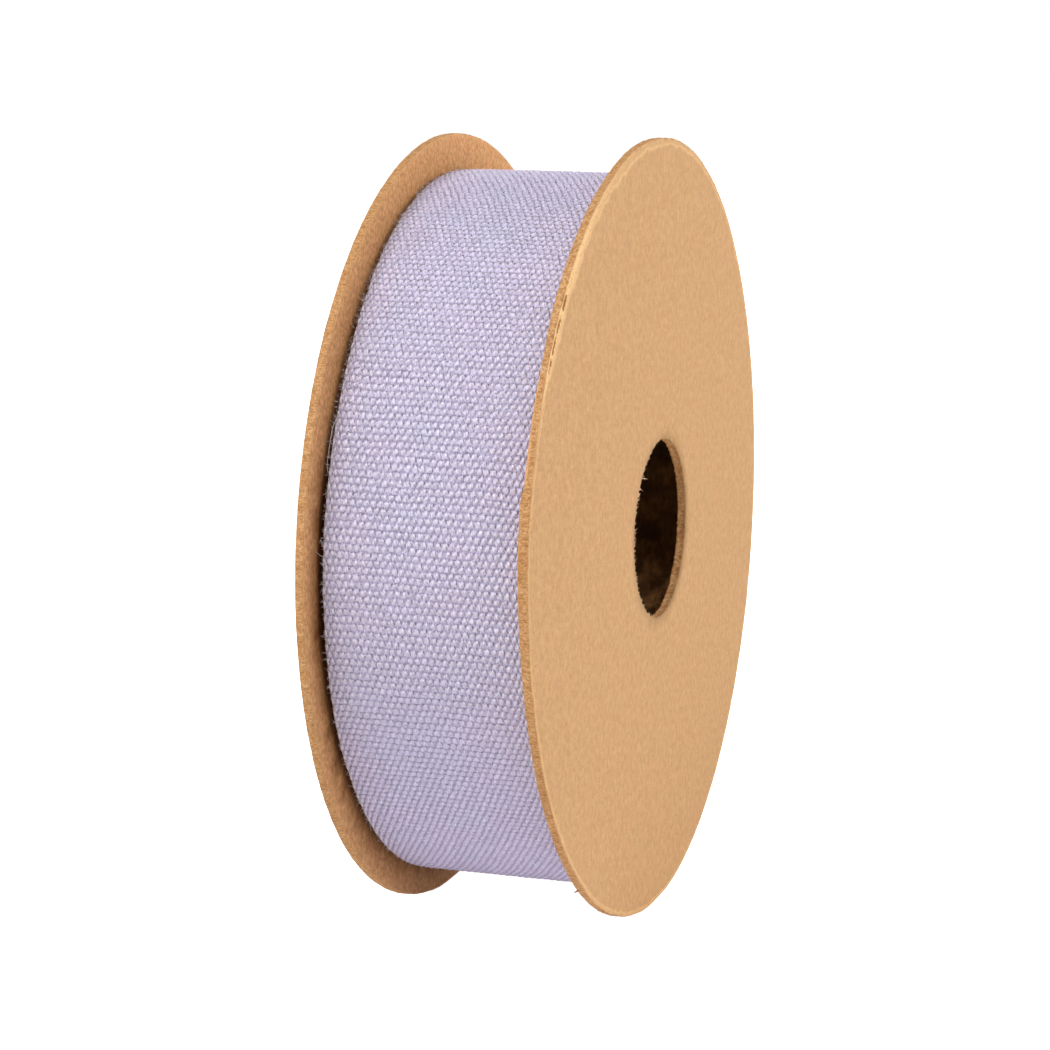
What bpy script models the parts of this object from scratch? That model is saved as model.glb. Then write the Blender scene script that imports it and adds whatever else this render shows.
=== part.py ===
"""A roll of woven gift ribbon on a cardboard spool, standing on its rims.

Two round kraft boards with a spindle hole are glued to the ends of a paper
tube, and the ribbon is wound round the tube between them.

Metres, +Z up. The spool's axis runs along X, and the origin is on the surface
that the spool stands on, below its middle.
"""

import math

import bmesh
import bpy
from mathutils import Matrix

MM = 0.001

# Boards
BOARD_RADIUS = 40.0 * MM
BOARD_THICKNESS = 0.92 * MM
BOARD_RIM_HALF_SPAN = 11.62 * MM
BOARD_DOME = 0.5 * MM
BOARD_DOME_RINGS = (0.45, 0.65, 0.83)
BOARD_LEAN = math.radians(0.28)
HOLE_RADIUS = 9.36 * MM
RIM_ROUNDING = 0.14 * MM
STANDING_FLAT = 8.0 * MM
CUTTER_DEPTH = 4.0 * MM

# Paper tube
TUBE_OUTER_RADIUS = 18.5 * MM
TUBE_WALL = 1.5 * MM

# Ribbon
RIBBON_WIDTH = 19.8 * MM
RIBBON_THICKNESS = 0.6 * MM
ROLL_MEAN_RADIUS = 36.7 * MM
ROLL_SAG = 0.2 * MM
SELVEDGE_ROUNDING = 0.18 * MM
CUT_END_ANGLE = math.radians(-12.0)
CUT_END_RUN = math.radians(0.7)

# Fit and smoothness
GAP = 0.3 * MM
SHARP_EDGE = math.radians(35.0)
MERGE_DISTANCE = 0.01 * MM
TURNED_STEPS = 96
ROLL_STATIONS = 144

AXIS_HEIGHT = math.sqrt(BOARD_RADIUS**2 - (STANDING_FLAT / 2) ** 2)

# The sides of the roll: how far some turns lie inside the ribbon's full width.
# Each row is (share of the way from the tube to the outside, inset).
SIDE_STEPS = [
    (0.00, 0.30 * MM),
    (0.14, 0.05 * MM),
    (0.30, 0.25 * MM),
    (0.47, 0.00 * MM),
    (0.62, 0.32 * MM),
    (0.78, 0.10 * MM),
    (0.90, 0.22 * MM),
    (0.97, 0.00 * MM),
]


def clear_scene():
    for old in list(bpy.data.objects):
        bpy.data.objects.remove(old, do_unlink=True)


def new_collection(name):
    collection = bpy.data.collections.new(name)
    bpy.context.scene.collection.children.link(collection)
    return collection


def new_material(name, colour, roughness):
    material = bpy.data.materials.new(name)
    material.use_nodes = True
    shader = material.node_tree.nodes["Principled BSDF"]
    shader.inputs["Base Color"].default_value = (*colour, 1.0)
    shader.inputs["Roughness"].default_value = roughness
    shader.inputs["Metallic"].default_value = 0.0
    material.diffuse_color = (*colour, 1.0)
    return material


def new_object(name, mesh, collection, material=None):
    made = bpy.data.objects.new(name, mesh)
    collection.objects.link(made)
    if material:
        mesh.materials.append(material)
    return made


def shade_round(mesh):
    mesh.shade_smooth()
    mesh.set_sharp_from_angle(angle=SHARP_EDGE)


def turned_profile(name, profile):
    """A mesh that holds a closed (radius, height) profile, ready for a Screw about Z."""
    shape = bmesh.new()
    points = [shape.verts.new((radius, 0.0, height)) for radius, height in profile]
    for first, second in zip(points, points[1:] + points[:1]):
        shape.edges.new((first, second))
    mesh = bpy.data.meshes.new(name)
    shape.to_mesh(mesh)
    shape.free()
    return mesh


def add_screw(turned):
    screw = turned.modifiers.new("Turned", "SCREW")
    screw.axis = "Z"
    screw.angle = math.tau
    screw.steps = TURNED_STEPS
    screw.render_steps = TURNED_STEPS
    screw.use_merge_vertices = True
    screw.merge_threshold = MERGE_DISTANCE
    screw.use_smooth_shade = True


def on_spool_axis(side=1, offset=0.0, lean=0.0):
    """Turns a piece made about Z onto the spool's axis, facing +X or -X, its top leaning in."""
    place = Matrix.Translation((side * offset, 0.0, AXIS_HEIGHT))
    leaning = Matrix.Rotation(-side * lean, 4, "Y")
    facing = Matrix.Rotation(side * math.pi / 2, 4, "Y")
    return place @ leaning @ facing


# Boards


def dome_at(radius):
    """How far a board stands outward of its rim, at a distance from the axis."""
    return BOARD_DOME * (1.0 - (radius / BOARD_RADIUS) ** 2)


def board_profile():
    """Half section of a board, with the outer edge of its rim at height 0.

    It runs from the hole out over the outer face, round the rim and back inside.
    """
    soft = RIM_ROUNDING
    rings = [BOARD_RADIUS * share for share in BOARD_DOME_RINGS]
    radii = [HOLE_RADIUS + soft, *rings, BOARD_RADIUS - soft]
    outside = [(radius, dome_at(radius)) for radius in radii]
    inside = [(radius, dome_at(radius) - BOARD_THICKNESS) for radius in reversed(radii)]
    rim = [(BOARD_RADIUS, -soft), (BOARD_RADIUS, soft - BOARD_THICKNESS)]
    hub = dome_at(HOLE_RADIUS)
    hole = [(HOLE_RADIUS, hub + soft - BOARD_THICKNESS), (HOLE_RADIUS, hub - soft)]
    return outside + rim + inside + hole


def add_standing_flat_cutter(cutters):
    """A block below the surface, which cuts the small flats that the spool stands on."""
    shape = bmesh.new()
    bmesh.ops.create_cube(shape, size=1.0)
    bmesh.ops.scale(shape, vec=(BOARD_RADIUS, BOARD_RADIUS, CUTTER_DEPTH), verts=shape.verts)
    bmesh.ops.translate(shape, vec=(0.0, 0.0, -CUTTER_DEPTH / 2), verts=shape.verts)
    mesh = bpy.data.meshes.new("surface_cutter")
    shape.to_mesh(mesh)
    shape.free()
    cutter = new_object("surface_cutter", mesh, cutters)
    cutter.hide_render = True
    cutter.display_type = "WIRE"
    return cutter


def add_board(name, side, cutter, parts, material):
    mesh = turned_profile(name, board_profile())
    board = new_object(name, mesh, parts, material)
    board.matrix_world = on_spool_axis(side, BOARD_RIM_HALF_SPAN, BOARD_LEAN)
    add_screw(board)
    flat = board.modifiers.new("Standing flat", "BOOLEAN")
    flat.operation = "DIFFERENCE"
    flat.solver = "EXACT"
    flat.object = cutter
    return board


# Paper tube


def tube_half_length():
    """The tube ends a gap inside the boards, which lean in at its top and out at its bottom."""
    inner_face = BOARD_RIM_HALF_SPAN - BOARD_THICKNESS + dome_at(TUBE_OUTER_RADIUS)
    return inner_face - TUBE_OUTER_RADIUS * math.sin(BOARD_LEAN) - GAP


def add_tube(parts, material):
    half = tube_half_length()
    inside = TUBE_OUTER_RADIUS - TUBE_WALL
    profile = [
        (TUBE_OUTER_RADIUS, half),
        (TUBE_OUTER_RADIUS, -half),
        (inside, -half),
        (inside, half),
    ]
    tube = new_object("paper_tube", turned_profile("paper_tube", profile), parts, material)
    tube.matrix_world = on_spool_axis()
    add_screw(tube)
    return tube


# Ribbon


def roll_radius(share):
    """The outside of the roll, a share of a turn on from the ribbon's cut end."""
    return ROLL_MEAN_RADIUS + RIBBON_THICKNESS * (share - 0.5)


def roll_section(outer_radius):
    """(across, radius) points round the section of the roll, from the tube outwards."""
    inner_radius = TUBE_OUTER_RADIUS + GAP + ROLL_SAG
    build_up = outer_radius - inner_radius
    half = RIBBON_WIDTH / 2
    right = [(half - inset, inner_radius + share * build_up) for share, inset in SIDE_STEPS]
    right.append((half - SELVEDGE_ROUNDING, outer_radius))
    left = [(-across, radius) for across, radius in reversed(right)]
    return right + left


def add_roll(parts, material):
    """The wound ribbon: its section carried round the tube, growing by one thickness."""
    shape = bmesh.new()
    rings = []
    for station in range(ROLL_STATIONS):
        share = station / (ROLL_STATIONS - 1)
        angle = CUT_END_ANGLE + share * (math.tau - CUT_END_RUN)
        section = roll_section(roll_radius(share))
        ring = [
            shape.verts.new((across, radius * math.cos(angle), radius * math.sin(angle)))
            for across, radius in section
        ]
        rings.append(ring)
    for ring, following in zip(rings, rings[1:] + rings[:1]):
        for i in range(len(ring)):
            k = (i + 1) % len(ring)
            shape.faces.new((ring[i], ring[k], following[k], following[i]))
    bmesh.ops.recalc_face_normals(shape, faces=shape.faces)
    mesh = bpy.data.meshes.new("ribbon_roll")
    shape.to_mesh(mesh)
    shape.free()
    shade_round(mesh)
    roll = new_object("ribbon_roll", mesh, parts, material)
    roll.location = (0.0, 0.0, AXIS_HEIGHT - ROLL_SAG)
    return roll


clear_scene()
spool_parts = new_collection("gift_ribbon_roll")
spool_cutters = new_collection("cutters")

kraft_board = new_material("kraft_board", (0.672, 0.392, 0.195), 0.85)
tube_paper = new_material("tube_paper", (0.330, 0.196, 0.105), 0.9)
lilac_cotton = new_material("lilac_cotton", (0.558, 0.509, 0.672), 0.95)

surface_cutter = add_standing_flat_cutter(spool_cutters)
add_board("board_front", 1, surface_cutter, spool_parts, kraft_board)
add_board("board_back", -1, surface_cutter, spool_parts, kraft_board)
add_tube(spool_parts, tube_paper)
add_roll(spool_parts, lilac_cotton)
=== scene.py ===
import math

import bpy
import numpy as np
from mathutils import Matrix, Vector


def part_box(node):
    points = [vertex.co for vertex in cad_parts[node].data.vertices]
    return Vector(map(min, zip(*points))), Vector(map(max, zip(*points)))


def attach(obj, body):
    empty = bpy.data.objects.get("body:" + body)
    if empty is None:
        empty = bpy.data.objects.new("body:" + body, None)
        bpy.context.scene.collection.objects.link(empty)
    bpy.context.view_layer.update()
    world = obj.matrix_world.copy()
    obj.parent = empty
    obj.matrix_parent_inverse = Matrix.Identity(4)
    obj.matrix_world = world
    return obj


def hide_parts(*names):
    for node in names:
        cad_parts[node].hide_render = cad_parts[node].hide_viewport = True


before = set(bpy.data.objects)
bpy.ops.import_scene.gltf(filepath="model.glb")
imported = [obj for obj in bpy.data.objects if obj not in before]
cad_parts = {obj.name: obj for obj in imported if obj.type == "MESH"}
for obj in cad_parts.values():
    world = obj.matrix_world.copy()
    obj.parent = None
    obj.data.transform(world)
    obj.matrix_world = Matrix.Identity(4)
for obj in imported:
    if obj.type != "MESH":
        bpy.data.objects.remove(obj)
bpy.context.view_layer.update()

# Paper tube
# The spool's core: a strip of brown paper wound on a bar in a spiral, glued ply on ply
# and cut to length. Both boards are glued to its ends, and it shows only through the
# spindle hole, with the butted seam of its innermost ply. Its finish has lighter patches
# along its bottom, painted light falling in through the hole, and painted shade that
# darkens it towards the top.

MM = 0.001
TUBE_WALL = 1.5 * MM
TUBE_STEPS = 360
TUBE_INSIDE_COLUMNS = 44
TUBE_OUTSIDE_COLUMNS = 6
SEAM_ANGLE_AT_MIDDLE = math.radians(236)
SEAM_TURN_PER_METRE = math.tan(math.radians(52)) / (17 * MM)
SEAM_DEPTH = 0.16 * MM
SEAM_WIDTH = 0.35 * MM
TUBE_UNEVENNESS = 0.05 * MM
# Painted shade: the tube's finish darkens over this rise above the axis.
TUBE_SHADE_RISE = 10 * MM
TUBE_BROWN = (0.125, 0.048, 0.012)
TUBE_GREY = (0.105, 0.056, 0.019)
# Painted light: lighter patches low in the tube, where light falls in through the hole.
TUBE_LIT_PATCH_COLOUR = (0.640, 0.330, 0.130)
LIT_PATCH_HEIGHTS = (28 * MM, 35 * MM)

tube_low, tube_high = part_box("paper_tube")
TUBE_HALF_LENGTH = (tube_high.x - tube_low.x) / 2
TUBE_OUTER_RADIUS = (tube_high.z - tube_low.z) / 2
AXIS_HEIGHT = (tube_high.z + tube_low.z) / 2


def round_axis(x, radius, angle):
    """Points round the spool's axis, which runs along X: angle 0 is the back, 90 degrees the top."""
    x, radius, angle = np.broadcast_arrays(x, radius, angle)
    return np.stack([x, radius * np.cos(angle), AXIS_HEIGHT + radius * np.sin(angle)], axis=-1)


def quad_mesh(name, points, join_rows=False, join_columns=False, flip=False, cap_ends=False):
    """A mesh of quads over a grid of points, rows by columns by xyz."""
    rows, columns = points.shape[:2]
    index = np.arange(rows * columns).reshape(rows, columns)
    if join_rows:
        index = np.vstack([index, index[:1]])
    if join_columns:
        index = np.hstack([index, index[:, :1]])
    corners = [index[:-1, :-1], index[:-1, 1:], index[1:, 1:], index[1:, :-1]]
    faces = np.stack(corners[::-1] if flip else corners, axis=-1).reshape(-1, 4).tolist()
    if cap_ends:
        faces.append(list(range(columns))[::-1])
        faces.append(list(range((rows - 1) * columns, rows * columns)))
    mesh = bpy.data.meshes.new(name)
    mesh.from_pydata(points.reshape(-1, 3).tolist(), [], faces)
    mesh.shade_smooth()
    return mesh


def uneven(rows, columns, row_step, column_step, seed):
    """Smooth unevenness over a grid, from about -1 to 1, its humps so many rows and columns apart."""
    draw = np.random.default_rng(seed)
    coarse = draw.standard_normal((int(rows / row_step) + 4, int(columns / column_step) + 4)) * 0.6
    down = np.arange(rows) / row_step + 1
    across = np.arange(columns) / column_step + 1

    def eased(position):
        whole = np.floor(position).astype(int)
        part = position - whole
        return whole, part * part * (3 - 2 * part)

    i, row_part = eased(down)
    k, column_part = eased(across)
    row_part = row_part[:, None]
    column_part = column_part[None, :]
    near = coarse[np.ix_(i, k)] * (1 - column_part) + coarse[np.ix_(i, k + 1)] * column_part
    far = coarse[np.ix_(i + 1, k)] * (1 - column_part) + coarse[np.ix_(i + 1, k + 1)] * column_part
    return near * (1 - row_part) + far * row_part


def uneven_ring(steps, hump, seed):
    """Smooth unevenness round a full circle, which joins up with itself."""
    line = uneven(steps, 1, hump, 1, seed)[:, 0]
    shift = np.linspace(0, 1, steps)
    return line - (line[-1] - line[0]) * shift


def add_piece(name, mesh, material):
    piece = bpy.data.objects.new(name, mesh)
    bpy.context.scene.collection.objects.link(piece)
    mesh.materials.append(material)
    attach(piece, "root")
    return piece


class Shader:
    """A new Principled material, with short ways to add nodes and wire them up."""

    def __init__(self, name, roughness):
        self.material = bpy.data.materials.new(name)
        self.material.use_nodes = True
        self.tree = self.material.node_tree
        self.surface = self.tree.nodes["Principled BSDF"]
        self.surface.inputs["Roughness"].default_value = roughness

    def put(self, socket, value):
        if isinstance(value, bpy.types.NodeSocket):
            self.tree.links.new(value, socket)
        else:
            socket.default_value = value

    def add(self, kind, output=0, inputs=None, **settings):
        node = self.tree.nodes.new(kind)
        for key, value in settings.items():
            setattr(node, key, value)
        for key, value in (inputs or {}).items():
            self.put(node.inputs[key], value)
        return node.outputs[output]

    def maths(self, operation, first, second=0.0, clamp=False):
        return self.add(
            "ShaderNodeMath", inputs={0: first, 1: second}, operation=operation, use_clamp=clamp
        )

    def place(self, stretch=(1, 1, 1), turn=(0, 0, 0)):
        """The piece's own coordinates, turned and then stretched."""
        where = self.add("ShaderNodeTexCoord", output="Object")
        turned = self.add("ShaderNodeMapping", inputs={"Vector": where, "Rotation": turn})
        return self.add("ShaderNodeMapping", inputs={"Vector": turned, "Scale": stretch})

    def noise(self, where, size, detail=2.0, rough=0.5):
        """Noise from 0 to 1 with humps of about that size, in metres."""
        return self.add(
            "ShaderNodeTexNoise",
            inputs={"Vector": where, "Scale": 1 / size, "Detail": detail, "Roughness": rough},
        )

    def band(self, value, low, high, bottom=0.0, top=1.0):
        """A value from low to high made to run from bottom to top, smoothly."""
        return self.add(
            "ShaderNodeMapRange",
            inputs={0: value, 1: low, 2: high, 3: bottom, 4: top},
            interpolation_type="SMOOTHSTEP",
        )

    def mix(self, share, first, second):
        return self.add(
            "ShaderNodeMix",
            output=2,
            inputs={0: share, 6: (*first, 1) if isinstance(first, tuple) else first,
                    7: (*second, 1) if isinstance(second, tuple) else second},
            data_type="RGBA",
        )

    def brighten(self, colour, factor):
        """A colour times a number."""
        return self.add(
            "ShaderNodeVectorMath", inputs={0: colour, "Scale": factor}, operation="SCALE"
        )

    def tinted(self, colour, tint):
        return self.add("ShaderNodeVectorMath", inputs={0: colour, 1: tint}, operation="MULTIPLY")

    def weathered(self, colour, factor):
        """A colour times a number that changes its blue the most, as kraft paper darkens."""
        change = self.maths("SUBTRACT", factor, 1.0)
        gain = self.add("ShaderNodeVectorMath", operation="MULTIPLY_ADD",
                        inputs={0: (1.0, 1.31, 1.80), 1: change, 2: (1.0, 1.0, 1.0)})
        return self.tinted(colour, gain)

    def xyz(self, vector):
        """The three numbers of a vector."""
        node = self.tree.nodes.new("ShaderNodeSeparateXYZ")
        self.put(node.inputs[0], vector)
        return tuple(node.outputs)

    def layer(self, name):
        """A number that the mesh stores for each of its points."""
        return self.add("ShaderNodeAttribute", output="Fac", attribute_name=name)

    def bump(self, height, depth, under=None):
        inputs = {"Height": height, "Distance": depth, "Strength": 1.0}
        if under is not None:
            inputs["Normal"] = under
        return self.add("ShaderNodeBump", inputs=inputs)

    def finish(self, colour, normal):
        self.put(self.surface.inputs["Base Color"], colour)
        self.put(self.surface.inputs["Normal"], normal)
        return self.material


def tube_paper():
    shader = Shader("tube_paper", roughness=0.9)
    shader.surface.inputs["Specular IOR Level"].default_value = 0.1
    where = shader.place()
    blotches = shader.noise(where, 2.5 * MM, detail=4)
    grain = shader.noise(shader.place(stretch=(1, 0.3, 0.3)), 0.5 * MM, detail=4)
    height = shader.xyz(where)[2]
    # Painted light in patches along the bottom of the tube.
    painted_light_patches = shader.maths("MULTIPLY", shader.band(height, *LIT_PATCH_HEIGHTS, 1.0, 0.0),
                         shader.band(blotches, 0.4, 0.6, 0.30, 0.65))
    tone = shader.maths("MULTIPLY", shader.band(blotches, 0.35, 0.65, 0.60, 1.45),
                        shader.band(grain, 0.3, 0.7, 0.75, 1.25))
    # Painted shade, darker towards the top of the tube.
    painted_top_shade = shader.band(height, AXIS_HEIGHT, AXIS_HEIGHT + TUBE_SHADE_RISE, 1.0, 0.45)
    tone = shader.maths("MULTIPLY", tone, painted_top_shade)
    colour = shader.mix(painted_light_patches, shader.mix(blotches, TUBE_BROWN, TUBE_GREY), TUBE_LIT_PATCH_COLOUR)
    return shader.finish(shader.brighten(colour, tone), shader.bump(grain, 0.03 * MM))


def tube_points():
    angle = np.linspace(0, math.tau, TUBE_STEPS, endpoint=False)[:, None]
    inside_x = np.linspace(-TUBE_HALF_LENGTH, TUBE_HALF_LENGTH, TUBE_INSIDE_COLUMNS)[None, :]
    seam = SEAM_ANGLE_AT_MIDDLE + inside_x * SEAM_TURN_PER_METRE
    inner_radius = TUBE_OUTER_RADIUS - TUBE_WALL
    off_seam = (np.remainder(angle - seam + math.pi, math.tau) - math.pi) * inner_radius
    groove = SEAM_DEPTH * np.exp(-((off_seam / SEAM_WIDTH) ** 2))
    half_way_round = math.pi * inner_radius
    ply_step = SEAM_DEPTH * 0.5 * (np.tanh(off_seam / SEAM_WIDTH) - off_seam / half_way_round)
    hollows = TUBE_UNEVENNESS * uneven_ring(TUBE_STEPS, 14, seed=3)[:, None]
    inside = round_axis(inside_x, inner_radius + groove + ply_step + hollows, angle)
    outside_x = np.linspace(TUBE_HALF_LENGTH, -TUBE_HALF_LENGTH, TUBE_OUTSIDE_COLUMNS)[None, :]
    outside = round_axis(outside_x, TUBE_OUTER_RADIUS, angle)
    return np.concatenate([inside, outside], axis=1)


tube_mesh = quad_mesh("tube", tube_points(), join_rows=True, join_columns=True)
tube = add_piece("tube", tube_mesh, tube_paper())
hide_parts("paper_tube")

# Boards
# Two discs of kraft board, die-cut with a round spindle hole and glued to the ends of
# the tube. The punch has rolled their edges over, left fine lines across the cut rim,
# opened the plies a little in one place, and spread the front rim below a small kink.
# Their finish has painted light and shade: rolled edges and corners painted pale, partly
# as highlight, a hole wall painted lighter low down, insides tinted warmer as bounced
# light, and painted shade on the insides beside the roll.

BOARD_THICKNESS = 0.92 * MM
BOARD_RIM_HALF_SPAN = 11.62 * MM
BOARD_DOME = 0.5 * MM
BOARD_LEAN = math.radians(0.28)
HOLE_RADIUS = 9.36 * MM
BOARD_STEPS = 720
FACE_RINGS = 18
CORNER = 0.09 * MM
RIM_WOBBLE = 0.06 * MM
RIM_ROUGHNESS = 0.025 * MM
NARROWEST_ROLLED_EDGE = 0.2 * MM
HOLE_RAG = 0.13 * MM
FACE_UNEVENNESS = 0.05 * MM
CREST_HEIGHT = 0.03 * MM
INNER_LIP = 0.03 * MM

# How far each rim bows outwards: behind and in front but inwards above and below, along
# the slanting diameter but inwards across it, and in one flare low down at the back.
FRONT_BOW = (-0.236 * MM, 0.140 * MM, 0.28 * MM)
BACK_BOW = (-0.036 * MM, 0.060 * MM, 0.0)
BACK_FLARE_ANGLE = math.radians(-22)
BACK_FLARE_SPAN = math.radians(50)

KRAFT = (0.594, 0.341, 0.158)
KRAFT_PINK = (0.599, 0.339, 0.160)
KRAFT_YELLOW = (0.589, 0.344, 0.156)
KRAFT_DARK = (0.450, 0.225, 0.085)
KRAFT_PALE = (0.800, 0.490, 0.235)
RIM_BROWN = (0.545, 0.262, 0.098)
RIM_PALE = (0.650, 0.350, 0.152)
FLAKE_PALE = (0.830, 0.540, 0.260)
# Pale lifted paper on the rolled edge, partly a painted highlight where it curls towards the light.
LIP_PALE_AND_HIGHLIGHT = (0.930, 0.600, 0.290)
PIT_BROWN = (0.400, 0.180, 0.060)
# The insides are painted warmer and lighter, as light bounced between the boards.
INSIDE_BOUNCE_LIGHT_TINT = (1.27, 1.15, 1.04)
# Painted shade on the boards' insides beside the roll: its tint, and the radii it darkens between.
BESIDE_ROLL_SHADE_TINT = (0.24, 0.155, 0.10)
BESIDE_ROLL_SHADE_RADII = (37.8 * MM, 37.3 * MM)
CRACK_BROWN = (0.330, 0.135, 0.035)
SPECK_BROWN = (0.300, 0.140, 0.050)
# Heights over which the hole wall is painted lighter, most low down, as light falling on it.
HOLE_WALL_LIGHT_HEIGHTS = (AXIS_HEIGHT - 9 * MM, AXIS_HEIGHT + 5 * MM)

board_low, board_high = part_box("board_front")
BOARD_RADIUS = (board_high.y - board_low.y) / 2

# Where the rings of the rolled edge lie, as shares of its width in from the rim.
ROLLED_SHARES = np.array(
    [1.5, 1.2, 1.0, 0.9, 0.8, 0.7, 0.6, 0.52, 0.44, 0.36, 0.28, 0.2, 0.1, 0.0]
)

# Shares of the thickness at which the rim's rings lie, from the outer face inwards.
RIM_SHARES = np.array(
    [0.0, 0.03, 0.06, 0.10, 0.14, 0.18, 0.22, 0.28, 0.4, 0.52, 0.64, 0.76, 0.87, 0.95, 1.0]
)

# The opened plies: where they lie and how wide they are on the rim, as shares of the
# thickness, and on the face, in from its edge.
CRACK_SHARE = 0.10
CRACK_HALF_WIDTH = 0.055
CRACK_PLACE = 0.33 * MM
CRACK_REACH = 0.18 * MM
CRACK_FULL_DEPTH = 0.22 * MM

# Angle round the front board in degrees, and how wide the rolled edge of its face is there.
FRONT_ROLLED_EDGE = [
    (0, 0.5 * MM),
    (85, 0.6 * MM),
    (100, 0.9 * MM),
    (120, 1.0 * MM),
    (137, 1.20 * MM),
    (146, 0.95 * MM),
    (151, 0.55 * MM),
    (160, 0.45 * MM),
    (172, 0.30 * MM),
    (225, 0.35 * MM),
    (360, 0.5 * MM),
]

# Angle in degrees, and how deep the plies have opened there.
FRONT_CRACK = [
    (128, 0.0 * MM),
    (132, 0.10 * MM),
    (134, 0.12 * MM),
    (136, 0.05 * MM),
    (137.2, 0.40 * MM),
    (138.4, 0.34 * MM),
    (139.2, 0.02 * MM),
    (140.2, 0.22 * MM),
    (142.2, 0.26 * MM),
    (142.8, 0.04 * MM),
    (143.6, 0.24 * MM),
    (145.6, 0.22 * MM),
    (146.0, 0.08 * MM),
    (146.6, 0.24 * MM),
    (148.2, 0.20 * MM),
    (149.5, 0.0 * MM),
    (167.6, 0.0 * MM),
    (168.2, 0.14 * MM),
    (170.3, 0.12 * MM),
    (171.0, 0.0 * MM),
]

# Angle in degrees, and how flaky the paper along the rim is there, from 0 to 1; it also sets how
# strongly the rolled edge is painted pale, partly as highlight.
FRONT_FLAKY = [
    (0, 0.25),
    (100, 0.35),
    (120, 0.70),
    (128, 1.00),
    (149, 1.00),
    (154, 0.50),
    (166, 0.30),
    (200, 0.25),
    (235, 0.45),
    (250, 0.25),
    (360, 0.25),
]

# Angle in degrees, and how strongly painted shade darkens the boards' insides beside the roll, from 0
# to 1.
BESIDE_ROLL_SHADE_SHARES = [
    (0, 0.6),
    (60, 0.1),
    (120, 0.1),
    (152, 0.4),
    (168, 1.0),
    (190, 1.0),
    (200, 0.85),
    (260, 0.9),
    (360, 0.6),
]

# The kraft paper's fibres: which way they lie, in degrees, their colour, and how much they show.
KRAFT_FIBRES = [
    (8, KRAFT_DARK, 0.24),
    (-24, KRAFT_PALE, 0.26),
    (52, KRAFT_DARK, 0.18),
    (84, KRAFT_PALE, 0.22),
    (-62, KRAFT_DARK, 0.18),
]

# Angle in degrees, and how far the inner edge of the rim stands out towards the ribbon.
FRONT_SPREAD = [
    (140, 0.0 * MM),
    (149, -0.22 * MM),
    (162.5, -0.28 * MM),
    (166.0, 0.22 * MM),
    (173, 0.20 * MM),
    (186, 0.06 * MM),
    (200, 0.0 * MM),
]


def along_ring(rows, angle):
    """Reads a table of (angle in degrees, value) round the spool."""
    degrees, values = zip(*rows)
    return np.interp(np.degrees(angle), degrees, values)


def rounded_edge(share):
    """How far in the rim lies near one of its edges, at a share of the thickness from it."""
    near = np.clip(1 - share / 0.09, 0, 1)
    return CORNER * (1 - np.sqrt(1 - near**2))


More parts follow.
